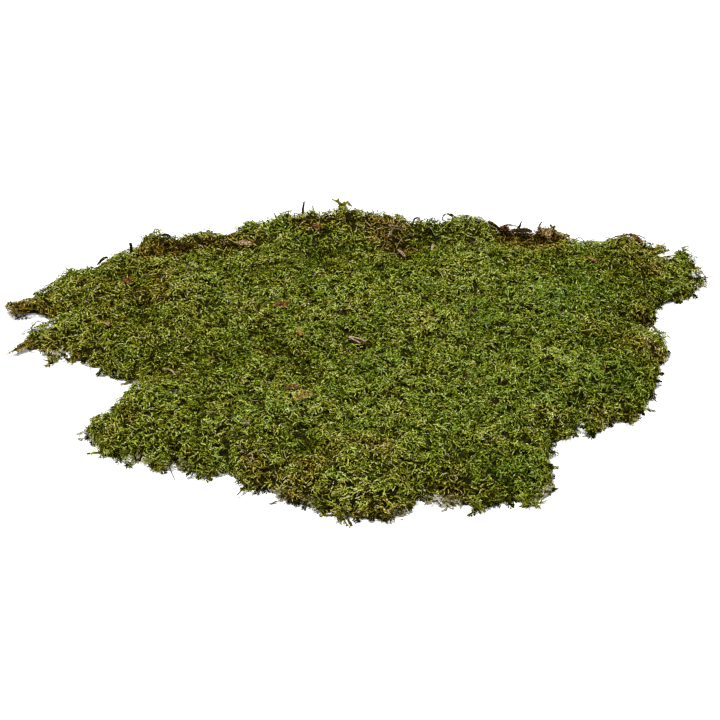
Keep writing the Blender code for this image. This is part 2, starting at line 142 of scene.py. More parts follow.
# The bed under the shoots, dark brown deepened with painted shade, in millimetres.
BED_DEPTH = 3.4  # under the tips
BED_STEP = 4.0
BED_THICKNESS = 0.6
BED_GAPS = 0.3  # it is open where the edge is lacier than this
BED_PROBES = ((0, 0), (3, 0), (-3, 0), (0, 3), (0, -3))
BACK_RIM = 100.0  # behind this y it stays up to the rolled edge

# The pieces that hold the shoots, from left to right.
BANDS = ["shoots_far_left", "shoots_left", "shoots_mid_left", "shoots_centre", "shoots_mid_right",
         "shoots_right", "shoots_far_right"]

# Where the moss is browner (above 0) or greener: x, y, radius in millimetres, and by how much.
COLOUR_PATCHES = [
    (-257, 62, 6, 0.4), (-245, 63, 7, 0.25), (-233, 58, 6, 0.15), (-158, 121, 10, 0.34),
    (-145, 124, 9, 0.34), (-132, 127, 6, 0.4), (-116, 135, 8, 0.35), (-100, 129, 7, 0.5),
    (-83, 134, 8, 0.3), (-143, 56, 5, 0.25), (-163, 61, 6, 0.2), (-45, 151, 6, 0.3),
    (-32, 149, 6, 0.35), (-11, 154, 11, 0.2), (10, 150, 9, 0.2), (21, 147, 9, 0.32),
    (26, 138, 9, 0.45), (31, 127, 6, 0.45), (114, 146, 9, 0.5), (130, 133, 10, 0.45),
    (144, 138, 9, 0.5), (153, 125, 6, 0.25), (170, 107, 6, 0.2), (199, 137, 11, 0.16),
    (215, 141, 11, 0.16), (220, 105, 9, 0.3), (213, 121, 6, 0.25), (192, 105, 7, 0.2),
    (212, 75, 6, 0.25), (207, 46, 8, 0.25), (181, 21, 8, 0.25), (192, 8, 7, 0.22), (205, -1, 8, 0.15),
    (214, 0, 9, 0.18), (48, 28, 5, 0.3), (8, 52, 6, 0.2), (68, -7, 5, 0.2), (-106, -19, 4, 0.3),
    (-130, -33, 6, 0.3), (-49, -25, 4, 0.28), (-67, -7, 4, 0.2), (-103, -75, 4, 0.25),
    (25, -62, 4, 0.2), (43, -31, 4, 0.25), (103, -26, 6, 0.2), (-158, -81, 7, 0.2),
    (167, -72, 6, 0.25), (137, -84, 7, 0.2), (188, -69, 7, 0.2), (-74, -130, 7, 0.28),
    (-63, -141, 7, 0.18), (-26, -133, 7, 0.24), (-33, -145, 6, 0.2), (6, -117, 5, 0.2),
    (18, -118, 5, 0.2), (-16, -116, 7, 0.14), (24, -140, 7, 0.14), (0, -167, 8, 0.08),
    (-9, -174, 9, 0.1), (17, -174, 7, 0.12), (-21, -166, 8, 0.08), (-42, -159, 9, 0.08),
    (64, -156, 5, 0.3), (54, -159, 5, 0.2), (90, -157, 5, 0.12), (-189, 31, 59, 0.1),
    (-26, -156, 40, 0.06), (163, 69, 24, -0.13), (177, 37, 14, -0.1), (184, -50, 19, -0.12),
    (94, -147, 16, -0.14), (0, -37, 11, -0.14), (72, -58, 16, -0.08), (98, -70, 14, -0.08),
    (-10, -165, 10, -0.08), (16, -55, 8, -0.1), (-129, 13, 9, -0.06), (62, 147, 9, -0.16),
    (-199, 80, 8, 0.18), (199, 0, 9, 0.16), (-89, 60, 7, 0.12), (-84, 45, 8, 0.12), (80, 129, 9, 0.24),
    (14, -126, 9, 0.2), (9, 112, 8, 0.18), (-149, -49, 7, 0.12), (20, -152, 8, 0.1),
    (-169, -96, 8, 0.1), (-116, 110, 7, 0.12), (-215, 8, 9, 0.1), (-39, -69, 7, 0.1),
    (-112, -50, 7, 0.1), (-143, 15, 11, 0.08), (120, 0, 50, -0.08), (155, -64, 16, -0.08),
    (-150, 85, 32, 0.07), (-245, 14, 8, 0.35),
]

# Hollows between the tufts (depth above 0) and swells (below 0): x, y, radius, depth. Shoots sit
# deeper in a hollow; hollows also get painted shade and swells painted light.
HOLLOWS = [
    (-27, 120, 11, 1.0), (-12, 112, 10, 0.8), (-8, 129, 9, 0.6), (-30, 102, 7, 0.5),
    (-46, 153, 7, 0.8), (-34, -127, 10, 1.1), (-31, -118, 6, 0.6), (-38, -138, 5, 0.5),
    (-184, 18, 12, 0.8), (-160, 35, 12, 1.1), (-160, 54, 7, 0.6), (-138, -28, 11, 0.9),
    (-67, 1, 8, 0.9), (-41, -21, 8, 0.8), (-110, 126, 7, 0.8), (200, 98, 8, 0.8), (189, 28, 9, 0.6),
    (178, -3, 8, 0.9), (164, -61, 8, 0.6), (-74, -114, 7, 0.7), (142, 102, 8, 0.7), (47, -151, 6, 0.7),
    (18, -147, 7, 0.8), (-105, -20, 6, 0.6), (-116, 110, 12, 0.7), (207, 64, 7, 0.6),
    (36, 112, 7, 0.6), (-102, -65, 7, 0.8), (-49, -34, 11, 0.7), (-102, -32, 12, 0.35),
    (-38, 106, 12, 0.4), (196, 104, 12, 0.5), (214, 64, 9, 0.5), (-36, -131, 10, 0.5),
    (-10, -15, 5, 1.0), (112, -2, 5, 0.9), (-214, 27, 5, 0.7), (-81, 128, 6, 0.9), (108, -171, 5, 0.9),
    (-195, 4, 5, 0.8), (-69, -47, 5, 1.0), (188, -63, 5, 0.9), (234, 88, 6, 0.9), (-28, -170, 5, 0.9),
    (-41, -103, 6, 1.0), (-118, -85, 5, 0.8), (-71, 18, 6, 0.8), (-151, 73, 6, 0.8),
    (107, -26, 7, 0.8), (-208, 65, 5, 0.8), (-177, 86, 11, 0.9), (-99, 121, 6, 0.7), (2, 8, 5, 0.7),
    (-60, -8, 8, 0.8), (-162, 57, 22, 0.45), (202, 95, 24, 0.65), (182, 4, 19, 0.65),
    (160, 108, 18, 0.4), (196, 48, 14, 0.4), (212, 78, 16, 0.3), (70, -136, 20, 0.5),
    (-125, -12, 38, 0.4), (-80, 87, 17, 0.6), (125, 108, 14, 0.5), (36, 119, 24, 0.4),
    (-55, -12, 16, 0.3), (55, -156, 10, 0.5), (-58, -118, 18, 0.35), (-71, -119, 10, 0.4),
    (8, -155, 10, 0.35), (107, -123, 14, 0.35), (-20, 112, 32, 0.35), (-138, -20, 20, 0.2),
    (12, -146, 10, 0.3), (67, 134, 14, 0.35), (140, 50, 17, -1.1), (158, -34, 12, -0.8),
    (78, -38, 13, -0.5), (98, -76, 10, -0.4), (134, -24, 12, -0.6), (82, 50, 11, -0.3),
    (79, 62, 14, -0.5), (44, 22, 14, -0.6), (45, -107, 13, -0.5), (-50, -84, 17, -0.75),
    (138, -20, 12, -0.4), (171, -30, 10, -0.6), (6, 149, 11, -0.9), (24, 150, 9, -0.5),
    (98, 26, 11, -0.45), (22, 38, 10, -0.4), (122, -150, 9, -0.7), (10, -36, 14, -0.6),
    (14, -82, 15, -0.45), (117, 46, 14, -0.4), (-11, 56, 14, -0.65), (233, 61, 8, -0.5),
    (207, 27, 7, -0.6), (-98, -45, 7, -0.4), (130, -78, 11, -0.6), (-110, 78, 7, -0.5),
    (-8, -168, 14, -0.8), (20, -172, 10, -0.6), (-54, -149, 13, -0.8), (-13, -155, 14, -0.2),
    (-90, -130, 10, -0.6), (106, -156, 9, -0.5), (-143, -118, 9, -0.6), (207, 157, 10, 1.2),
]

# Where the torn edge is so thin that light comes through: x, y, radius, share of shoots left out.
LACY = [
    (255, 113, 6, 0.42), (257, 99, 5, 0.42), (-222, 9, 8, 0.4), (-252, 54, 9, 0.8), (-232, 47, 7, 0.7),
    (-242, 49, 7, 0.9), (50, -160, 6, 0.5), (-163, -115, 7, 0.4),
]

# The split needle: its heading, how thickly the moss reaches over it, and its strands: look,
# thick and thin radius, and runs of places along it, across it and upwards.
NEEDLE_TURN = -34.0
NEEDLE_COVER = 0.15
NEEDLE = [
    ("needle", 0.70, 0.42, [
        [(-7.4, 0.3, 1.0), (-2.5, 1.3, 1.7), (2.0, 1.6, 1.8), (6.4, 1.4, 1.2)],
        [(-7.4, 0.0, 1.0), (-3.5, -1.0, 1.5), (0.0, -1.5, 1.5), (3.8, -1.6, 1.1)],
    ]),
    ("red", 0.55, 0.9, [
        [(-4.5, 0.0, 0.3), (-0.5, 0.1, 0.6), (3.5, -0.2, 0.7), (7.4, -0.4, 0.5)],
    ]),
]

# Lumps of tangled shoots that stand out of the mat: x, y, z, radius, how many shoots.
CLUMPS = [
    (-258, 62, 8, 2.6, 60), (-253, 61, 8, 2.6, 50), (-248, 62, 9, 2.6, 50), (-242, 63, 9, 3, 50),
    (-236, 62, 9, 3, 40), (-256, 57, 7, 2, 24), (-240, 19, 5, 2, 30), (-245, 15, 4.5, 1.5, 20),
    (-249, 11, 4, 1.1, 12), (228, 133, 11, 2, 24), (224, 130, 9, 2.4, 24), (-13, 171, 25, 1.8, 30),
    (-12, 171, 21, 2.2, 30), (-35, 167, 21, 1.6, 24),
]

# Where bleached old leaves show under the torn edge: x, y, radius, how many shoots of them. Their pale
# tone is partly painted light coming through the thin edge.
BLEACHED_LIT_SPOTS = [
    (-150, -110, 4, 14), (-136, -118, 5, 34), (-118, -120, 4, 24), (-103, -126, 4, 28),
    (-68, -139, 4, 20), (-50, -151, 6, 44), (-28, -160, 7, 36), (25, -168, 6, 30), (63, -158, 6, 40),
    (122, -147, 7, 44), (-220, 7, 5, 22), (-7, -158, 5, 12), (50, -156, 5, 8), (-190, -85.5, 3, 14),
]

# Single sprigs that stand out: colour of moss, leaf size, and the run of the stem.
SPRIGS = [
    (0.98, 1.1, (-42.7, 166, 18), (-43.6, 167, 24), (-42.6, 167, 31)),
    (0.42, 0.8, (-33, 167, 14), (-34.2, 167, 21), (-35.8, 167, 27.5)),
    (0.56, 1.3, (-11.5, 171, 17), (-13.4, 172, 24.3), (-15.5, 172, 28), (-19.5, 172, 30.6)),
    (0.58, 1.4, (-12.5, 171, 17), (-14.6, 172, 24.3), (-16.1, 172, 29.4)),
    (0.56, 1.3, (-13.4, 171, 20), (-13, 171, 25), (-10.3, 171, 29), (-7.4, 171, 27)),
    (0.55, 0.9, (-62.5, 165, 10), (-63.6, 166, 17), (-65.4, 166, 21.8)),
    (0.45, 0.9, (-58.2, 165, 12), (-56.6, 166, 18), (-54.6, 166, 22.5)),
    (0.08, 1.0, (75.2, 162, 17.8), (72.1, 162, 21.1), (68.9, 162, 23.9), (65.5, 162, 23.4),
     (64, 162, 19.8), (66.8, 162, 17.5)),
    (0.1, 0.9, (68.9, 162, 23.9), (71.2, 162, 23.4), (73.6, 162, 20.7), (76, 162, 17.9)),
    (0.06, 0.8, (75, 162, 17.5), (77.5, 162, 16.5), (80, 161, 14.4)),
    (0.99, 0.6, (-153, 147, 12), (-153.3, 148, 17.6), (-155.6, 148, 19.6), (-157.2, 148, 18)),
    (0.9, 0.9, (-236, 22, 6), (-245.8, 14.5, 5), (-253.9, 7.6, 3.5)),
    (0.84, 0.9, (-236, 19, 5), (-244.5, 14, 4.5), (-249.8, 10.1, 4)),
    (0.62, 0.9, (-237, 22, 7), (-242, 18.5, 6), (-247.2, 13.1, 4.5)),
    (0.66, 0.9, (-236, 20, 6), (-240, 15, 5), (-245.6, 11.3, 4)),
    (1.0, 0.7, (-241.2, 16.4, 2.5), (-238, 14, 2.5), (-232, 14.5, 3)),
    (0.72, 1.0, (-232, 62, 9), (-240, 62.5, 10), (-250, 62.5, 10), (-258.5, 63.9, 9)),
    (0.84, 1.0, (-237, 57.6, 8), (-247.5, 57.6, 8), (-259.6, 59, 7)),
    (0.64, 1.0, (-238, 66.4, 10), (-245.3, 66.2, 11), (-252, 63.8, 10)),
    (0.9, 0.9, (-243, 56.6, 6), (-250.4, 55.3, 6), (-256.5, 56.6, 6)),
    (0.7, 1.0, (-248, 60, 9), (-254, 60, 9), (-260.5, 62, 7)),
    (0.74, 1.0, (221.4, 128, 6.3), (226.8, 132, 11), (232.4, 136, 13.8)),
    (0.8, 0.9, (222.8, 128, 8.2), (225.2, 132, 11.9), (229.9, 134, 13.3)),
    (0.98, 0.7, (122, 160, 12), (123.4, 160, 15.1), (124.8, 160, 18.3)),
    (0.9, 0.8, (138, 158, 11.4), (138.6, 158, 15.9), (139.7, 158, 18.7)),
    (0.92, 0.8, (146.6, 158, 17.8), (148.3, 158, 14.1), (151.6, 158, 10.4)),
    (0.76, 0.8, (109.1, 160, 13.6), (114.5, 160, 15.6), (120.7, 160, 14.6)),
    (0.88, 0.8, (247, 96, 5), (253, 94.5, 5), (259.5, 92.5, 4)),
    (0.84, 0.8, (250, 118, 7), (256, 113, 6), (261, 106, 5)),
]

# Roots and old stems, then pale straws: thick and thin radius, and their run.
DARK_FIBRES = [
    (0.55, 0.25, (161.8, 139, 10), (165.4, 140, 15.8), (169.2, 140, 16.7), (174, 139, 11)),
    (0.5, 0.35, (189.5, 150, 7.5), (194, 150, 10), (200, 150, 12.4), (207.5, 150, 13.5)),
    (0.6, 0.4, (201, 150, 12.2), (207.5, 150, 13.2), (214, 150, 12.6), (219.5, 150, 10)),
    (1.0, 0.7, (-43, 166, 16), (-43.6, 167, 21), (-43.2, 167, 26), (-42.6, 167, 30)),
    (0.9, 0.55, (29.9, 164, 12), (29.9, 165, 18), (29, 165, 22.7)),
    (0.9, 0.6, (40.6, 162, 11), (42.1, 163, 18.5), (45.2, 163, 20.3), (46.5, 163, 17.8)),
    (0.5, 0.3, (-254.6, 58.4, 5), (-252.6, 53.2, 4), (-250, 53, 4), (-247.6, 58, 5)),
    (0.45, 0.2, (-241, 40, 3), (-236, 45, 6), (-230, 42, 5), (-226, 44, 7)),
    (0.35, 0.15, (-247.2, 32.4, 3), (-244.4, 33.7, 5), (-240, 37.4, 5), (-234, 38, 6)),
    (0.55, 0.25, (-128, -120, 8), (-128.3, -127, 5), (-124.5, -136.5, 2.5)),
    (0.6, 0.3, (252, 102, 5), (258, 98, 8.5), (264.5, 95, 11.5)),
    (0.8, 0.4, (-76, -145.5, 6), (-79.5, -150.5, 4), (-82, -153.8, 3)),
    (0.5, 0.3, (204, -42, 6), (207, -48, 5), (209.5, -52, 4)),
    (0.45, 0.2, (225, 126, 8), (232, 127, 8), (240, 129.6, 8)),
]
PALE_FIBRES = [
    (0.3, 0.18, (-56, 47, 20.5), (-52, 45.5, 21.5), (-48, 44.5, 21.3), (-44.5, 42.5, 20.5)),
    (0.2, 0.12, (23, 137, 22), (27, 141, 26), (31, 148, 27), (33, 155, 29)),
    (0.2, 0.12, (15, 132, 20), (21, 136, 23), (28, 133, 22), (34, 128, 20)),
    (0.2, 0.12, (28, 124, 18), (32, 132, 21), (38, 137, 22), (45, 138, 22)),
    (0.2, 0.12, (16, 146, 24), (22, 143, 24), (30, 142, 24), (38, 144, 25)),
    (0.2, 0.12, (50, 148, 24), (55, 143, 23), (57, 137, 22), (62, 135, 21)),
    (0.2, 0.12, (72, 152, 26), (80, 148, 25), (86, 149, 26), (92, 146, 25)),
]

# Each caught bit: its slot, how thickly the moss reaches over it, its look, how far it is crumpled
# and over what distance, how much thinner it is than its solid, and any end that looks otherwise:
# that look, where the end lies, and its share.
BITS = {
    "red_leaf_scrap": ("dead_leaf", 0.5, "brown", 1.2, 1.6, 0.1, ("pink", -10.0, 0.35)),
    "orange_flake": ("bark_pale", 0.25, "tan", 0.4, 1.5, 0.2),
    "brown_leaf_scrap": ("dead_leaf", 0.4, "brown", 1.1, 1.8, 0.1, ("pink", -5.0, 0.45)),
    "golden_leaf_curl": ("golden_leaf", 0.8, "gold", 1.4, 1.6, 0.15),
    "seed_flake": ("bark_pale", 0.3, "seed", 0.4, 1.6, 0.1),
    "curved_bark_strip": ("bark_pale", 0.15, "pink", 0.3, 1.8, 0.7, ("dark", -45.0, 0.3)),
    "pale_straw_strip": ("straw", 0.1, "straw", 0.3, 1.5, 0.15),
    "red_bark_strip": ("bark_red", 0.3, "red", 0.5, 1.8, 0.2),
    "grey_bark_flake": ("bark_pale", 0.4, "pink", 0.8, 1.6, 0.25, ("dark", 180.0, 0.3)),
    "dark_leaf_scrap": ("bark_dark", 0.0, "dark", 0.8, 2.0, 0.0),
    "dark_crescent": ("bark_dark", 0.0, "dark", 0.5, 1.6, 0.0),
    "wood_chip": ("twig", 0.3, "dark", 0.5, 1.6, 0.1, ("pink", 0.0, 0.3)),
    "red_fleck": ("dead_leaf", 0.5, "red", 1.1, 1.6, 0.1),
    "long_bark_strip": ("bark_red", 0.1, "dark", 0.4, 2.2, 0.35, ("red", 180.0, 0.45)),
    "crumpled_leaf": ("dead_leaf", 0.1, "crumpled", 1.4, 2.0, 0.0,
                      ("dark", 180.0, 0.15), ("dark", 0.0, 0.12)),
    "crumpled_leaf_edge": ("dead_leaf", 0.3, "crumpled", 1.2, 2.0, 0.1, ("dark", 0.0, 0.4)),
    "rim_bark_flake": ("bark_dark", 0.4, "brown", 1.0, 2.0, 0.3,
                       ("pink", 0.0, 0.5), ("dark", 0.0, 0.2)),
    "tan_needle_strip": ("bark_pale", 0.15, "tan", 0.3, 1.5, 0.25),
    "tan_leaf_bit": ("straw", 0.4, "tan", 0.6, 1.6, 0.1, ("brown", -90.0, 0.4)),
    "pink_straw": ("straw", 0.05, "straw", 0.15, 1.5, 0.0),
    "reddish_twig": ("bark_red", 0.1, "straw", 0.3, 1.5, 0.1, ("red", 0.0, 0.4)),
    "straw_ring": ("straw", 0.1, "straw", 0.1, 1.5, 0.1),
    "twig_stub": ("twig", 0.0, "twig", 0.35, 1.5, 0.0),
    "bark_splinter": ("bark_dark", 0.0, "dark", 0.4, 1.5, 0.0),
    "bark_curl": ("bark_dark", 0.0, "dark", 0.4, 1.5, 0.0),
    "bark_chunk": ("bark_red", 0.3, "red", 1.6, 2.0, 0.1),
}

# What the bed and the bits are made of: its name, roughness, the scale of its noise, its colours
# along that noise, the height of its bumps in millimetres, and its shine.
LOOKS = {
    # Dark brown deepened to near black with painted shade, for the shaded depths of the moss.
    "bed": ("moss_bed", 0.9, 420.0, [
        (0.3, (0.004, 0.005, 0.001)), (0.55, (0.014, 0.012, 0.003)), (0.75, (0.034, 0.022, 0.007)),
    ], 0.6, 0.0),
    "red": ("red_bark", 0.7, 620.0, [
        (0.35, (0.01, 0.003, 0.001)), (0.5, (0.07, 0.021, 0.006)), (0.63, (0.2, 0.08, 0.03)),
    ], 0.3, 0.06),
    "dark": ("dark_bark", 0.75, 600.0, [
        (0.35, (0.003, 0.002, 0.001)), (0.52, (0.015, 0.008, 0.004)), (0.68, (0.075, 0.036, 0.016)),
    ], 0.3, 0.06),
    "pink": ("pink_bark", 0.6, 800.0, [
        (0.35, (0.02, 0.009, 0.004)), (0.47, (0.13, 0.072, 0.038)), (0.58, (0.32, 0.225, 0.145)),
    ], 0.25, 0.1),
    "needle": ("needle_skin", 0.5, 800.0, [
        (0.35, (0.11, 0.055, 0.028)), (0.48, (0.27, 0.17, 0.105)), (0.6, (0.42, 0.32, 0.22)),
    ], 0.2, 0.1),
    "tan": ("tan_scale", 0.6, 700.0, [
        (0.35, (0.03, 0.014, 0.004)), (0.5, (0.17, 0.085, 0.026)), (0.64, (0.27, 0.165, 0.066)),
    ], 0.25, 0.08),
    "seed": ("seed_scale", 0.6, 800.0, [
        (0.35, (0.012, 0.008, 0.003)), (0.5, (0.085, 0.06, 0.03)), (0.64, (0.22, 0.18, 0.11)),
    ], 0.25, 0.08),
    "brown": ("brown_leaf", 0.7, 620.0, [
        (0.35, (0.008, 0.003, 0.001)), (0.46, (0.055, 0.018, 0.004)), (0.56, (0.13, 0.052, 0.015)),
        (0.66, (0.23, 0.15, 0.07)),
    ], 0.35, 0.06),
    "crumpled": ("crumpled_leaf_skin", 0.7, 700.0, [
        (0.38, (0.006, 0.003, 0.001)), (0.46, (0.05, 0.024, 0.007)), (0.53, (0.17, 0.105, 0.028)),
        (0.62, (0.35, 0.275, 0.135)),
    ], 0.35, 0.06),
    "gold": ("golden_leaf", 0.6, 700.0, [
        (0.4, (0.012, 0.008, 0.001)), (0.5, (0.15, 0.1, 0.01)), (0.61, (0.33, 0.25, 0.06)),
    ], 0.35, 0.1),
    "straw": ("pale_straw", 0.5, 600.0, [
        (0.35, (0.06, 0.044, 0.014)), (0.5, (0.21, 0.17, 0.08)), (0.64, (0.36, 0.32, 0.19)),
    ], 0.2, 0.1),
    "twig": ("dark_twig", 0.8, 700.0, [
        (0.35, (0.002, 0.002, 0.001)), (0.52, (0.009, 0.007, 0.005)), (0.7, (0.04, 0.028, 0.018)),
    ], 0.3, 0.08),
}


def link(data):
    """A new object in the scene, named after its mesh, light or camera."""
    thing = bpy.data.objects.new(data.name, data)
    bpy.context.scene.collection.objects.link(thing)
    return thing


def new_material(name, roughness, shine):
    """A node material, its tree and its shader."""
    material = bpy.data.materials.new(name)
    material.use_nodes = True
    shader = material.node_tree.nodes["Principled BSDF"]
    shader.inputs["Roughness"].default_value = roughness
    shader.inputs["Specular IOR Level"].default_value = shine
    return material, material.node_tree, shader


def ramp(tree, source, stops):
    """A run of colours that a value picks from."""
    node = tree.nodes.new("ShaderNodeValToRGB")
    band = node.color_ramp
    while len(band.elements) < len(stops):
        band.elements.new(0.5)
    for element, (place, colour) in zip(band.elements, stops):
        element.position = place
        element.color = (*colour, 1.0)
    tree.links.new(source, node.inputs["Fac"])
    return node.outputs["Color"]


def leaf_material(name, kinds, tones):
    """Leaf colour from two marks on each leaf: its kind across, its tone from foot to tip, which
    carries painted shade and painted light.
    """
    material, tree, shader = new_material(name, 0.42, 0.0)
    place = tree.nodes.new("ShaderNodeUVMap")
    place.uv_map = "OFBake"
    split = tree.nodes.new("ShaderNodeSeparateXYZ")
    tree.links.new(place.outputs["UV"], split.inputs["Vector"])
    kind = ramp(tree, split.outputs["X"], kinds)
    tone = ramp(tree, split.outputs["Y"], tones)
    mix = tree.nodes.new("ShaderNodeMix")
    mix.data_type = "RGBA"
    mix.blend_type = "MULTIPLY"
    mix.inputs["Factor"].default_value = 1.0
    tree.links.new(kind, mix.inputs["A"])
    tree.links.new(tone, mix.inputs["B"])
    tree.links.new(mix.outputs["Result"], shader.inputs["Base Color"])
    return material


def moss_material():
    """The moss, from deep green by yellow to brown, and from the dark foot to the light tip; the light
    end of the tone adds blue as a painted sheen.
    """
    return leaf_material("moss_leaf", [
        (0.0, (0.055, 0.115, 0.005)), (0.25, (0.171, 0.248, 0.008)), (0.5, (0.322, 0.362, 0.018)),
        (0.6, (0.36, 0.342, 0.02)), (0.7, (0.358, 0.29, 0.022)), (0.8, (0.31, 0.22, 0.015)),
        (0.9, (0.2, 0.12, 0.008)), (1.0, (0.07, 0.036, 0.002)),
    ], [
        # Painted sheen: towards the light end the tone adds much more blue, so lit leaves turn paler.
        (0.0, (0.02, 0.02, 0.01)), (0.25, (0.17, 0.17, 0.08)), (0.5, (0.81, 0.81, 1.05)),
        (0.75, (1.32, 1.28, 5.3)), (1.0, (1.75, 1.67, 17.0)),
    ])


def bleached_lit_material():
    """Old leaves that have lost their green, and painted light coming through the thin edge."""
    return leaf_material("bleached_lit_leaf", [
        (0.0, (0.23, 0.225, 0.13)), (1.0, (0.27, 0.235, 0.15)),
    ], [
        (0.0, (0.1, 0.09, 0.06)), (0.3, (0.35, 0.34, 0.28)),
        (0.6, (1.0, 1.0, 1.0)), (1.0, (1.5, 1.5, 1.6)),
    ])


def mottled(name, roughness, scale, stops, bump_height, shine):
    """A material whose colour and surface follow one noise."""
    material, tree, shader = new_material(name, roughness, shine)
    place = tree.nodes.new("ShaderNodeTexCoord")
    cloud = tree.nodes.new("ShaderNodeTexNoise")
    cloud.inputs["Scale"].default_value = scale
    cloud.inputs["Detail"].default_value = 5.0
    tree.links.new(place.outputs["Object"], cloud.inputs["Vector"])
    tree.links.new(ramp(tree, cloud.outputs["Fac"], stops), shader.inputs["Base Color"])
    bump = tree.nodes.new("ShaderNodeBump")
    bump.inputs["Strength"].default_value = 0.8
    bump.inputs["Distance"].default_value = bump_height * MM
    tree.links.new(cloud.outputs["Fac"], bump.inputs["Height"])
    tree.links.new(bump.outputs["Normal"], shader.inputs["Normal"])
    return material


def smooth_noise(x, y, size, layer):
    """Noise from about -1 to 1 over the plan, in millimetres."""
    step = size / 4.0
    low_x = x.min() - size
    low_y = y.min() - size
    columns = int((x.max() + size - low_x) / step) + 2
    rows = int((y.max() + size - low_y) / step) + 2
    grid = np.array([
        [noise.noise(Vector(((low_x + i * step) / size * 1.7, (low_y + j * step) / size * 1.7, layer)))
         for i in range(columns)]
        for j in range(rows)
    ])
    u = (x - low_x) / step
    v = (y - low_y) / step
    i = u.astype(int)
    j = v.astype(int)
    u = u - i
    v = v - j
    low = grid[j, i] * (1 - u) + grid[j, i + 1] * u
    high = grid[j + 1, i] * (1 - u) + grid[j + 1, i + 1] * u
    return (low * (1 - v) + high * v) * 1.8


def unit(v):
    """Vectors of length 1 along the given ones."""
    return v / np.maximum(np.linalg.norm(v, axis=-1, keepdims=True), 1e-9)


def level(heading):
    """Level directions, from their headings in radians."""
    return np.stack([np.cos(heading), np.sin(heading), 0 * heading], 1)


def finder(points):
    """Finds the nearest of some points."""
    tree = KDTree(len(points))
    for index, point in enumerate(points):
        tree.insert(point, index)
    tree.balance()
    return tree


def corners_of(node):
    """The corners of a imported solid, in millimetres."""
    return np.array([vert.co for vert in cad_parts[node].data.vertices]) / MM


def repeated(spots):
    """The columns of a list of spots, each spot as often as its last value says."""
    table = np.array(spots, float)
    return np.repeat(table[:, :-1], table[:, -1].astype(int), axis=0)


def joined(parts):
    """Several groups of shoots as one."""
    return {key: np.concatenate([part[key] for part in parts]) for key in parts[0]}


def only(shoots, kept):
    """The shoots of a group that are kept."""
    return {key: values[kept] for key, values in shoots.items()}


def near(place, spots, reach=1.0):
    """How strongly the listed spots work at each point, as a sum of their fourth values."""
    x = place[..., 0]
    y = place[..., 1]
    return sum(value * np.exp(-((x - centre_x) ** 2 + (y - centre_y) ** 2) / (reach * radius) ** 2)
               for centre_x, centre_y, radius, value in spots)


class Sheet:
    """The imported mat's surface as arrays, in millimetres."""

    def __init__(self):
        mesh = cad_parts["moss_mat"].data
        mesh.calc_loop_triangles()
        count = len(mesh.vertices)
        place = np.empty(count * 3)
        mesh.vertices.foreach_get("co", place)
        corners = np.empty(len(mesh.loop_triangles) * 3, int)
        mesh.loop_triangles.foreach_get("vertices", corners)
        self.place = place.reshape(-1, 3) / MM
        self.corners = corners.reshape(-1, 3)
        self.tree = BVHTree.FromPolygons(self.place.tolist(), self.corners.tolist())
        a, b, c = (self.place[self.corners[:, k]] for k in range(3))
        cross = np.cross(b - a, c - a)
        self.area = 0.5 * np.linalg.norm(cross, axis=1)
        flat = cross / np.maximum(2.0 * self.area, 1e-9)[:, None]
        self.upper = np.flatnonzero(flat[:, 2] >= -0.5)
        self.top = np.flatnonzero(flat[:, 2] > 0.75)
        self.wall = np.flatnonzero((flat[:, 2] >= -0.5) & (flat[:, 2] < 0.6))
        smooth = np.zeros_like(self.place)
        for k in range(3):
            np.add.at(smooth, self.corners[self.upper, k], cross[self.upper])
        self.normal = unit(smooth)
        self.edge = finder((a + b + c)[self.wall] / 3.0)

    def scatter(self, count, faces):
        """Points spread evenly over some faces, with the smooth normal at each."""
        share = np.cumsum(self.area[faces])
        mark = (np.arange(count) + RNG.random(count)) / count * share[-1]
        face = self.corners[faces[np.searchsorted(share, mark).clip(0, len(faces) - 1)]]
        u = RNG.random(count)
        v = RNG.random(count)
        over = u + v > 1
        u[over] = 1 - u[over]
        v[over] = 1 - v[over]
        weight = np.stack([1 - u - v, u, v], 1)[..., None]
        return (self.place[face] * weight).sum(1), unit((self.normal[face] * weight).sum(1))

    def height(self, x, y):
        """The height of the surface over a place, or None beside the mat."""
        hit = self.tree.ray_cast(Vector((x, y, 100.0)), Vector((0, 0, -1)))[0]
        return hit.z if hit else None

    def from_edge(self, place):
        """How far each point is from the torn edge."""
        return np.array([self.edge.find(point)[2] for point in place])


def shoot_spines(shoots):
    """Bent spines with the forward and upward directions at each leaf, tops at the surface."""
    normal = shoots["normal"]
    rise, hook, sweep = (np.radians(shoots[key])[:, None] for key in ("rise", "hook", "sweep"))
    heading = shoots["heading"] - LIE * np.sin(2.0 * shoots["heading"])
    side = unit(np.cross(normal, level(heading)))
    ahead = np.cross(side, normal)
    t = (np.arange(LEAVES) + 0.5) / LEAVES
    pitch = (rise - hook * t ** 1.3)[..., None]
    yaw = (sweep * t ** 1.2)[..., None]
    flat = np.cos(yaw) * ahead[:, None] + np.sin(yaw) * side[:, None]
    forward = np.cos(pitch) * flat + np.sin(pitch) * normal[:, None]
    upward = np.cos(pitch) * normal[:, None] - np.sin(pitch) * flat
    spine = np.cumsum(forward * (shoots["length"] / LEAVES)[:, None, None], axis=1)
    top = (spine * normal[:, None]).sum(-1).max(1)
    spine += (shoots["place"] - normal * (top + shoots["sink"])[:, None])[:, None]
    return spine, forward, upward


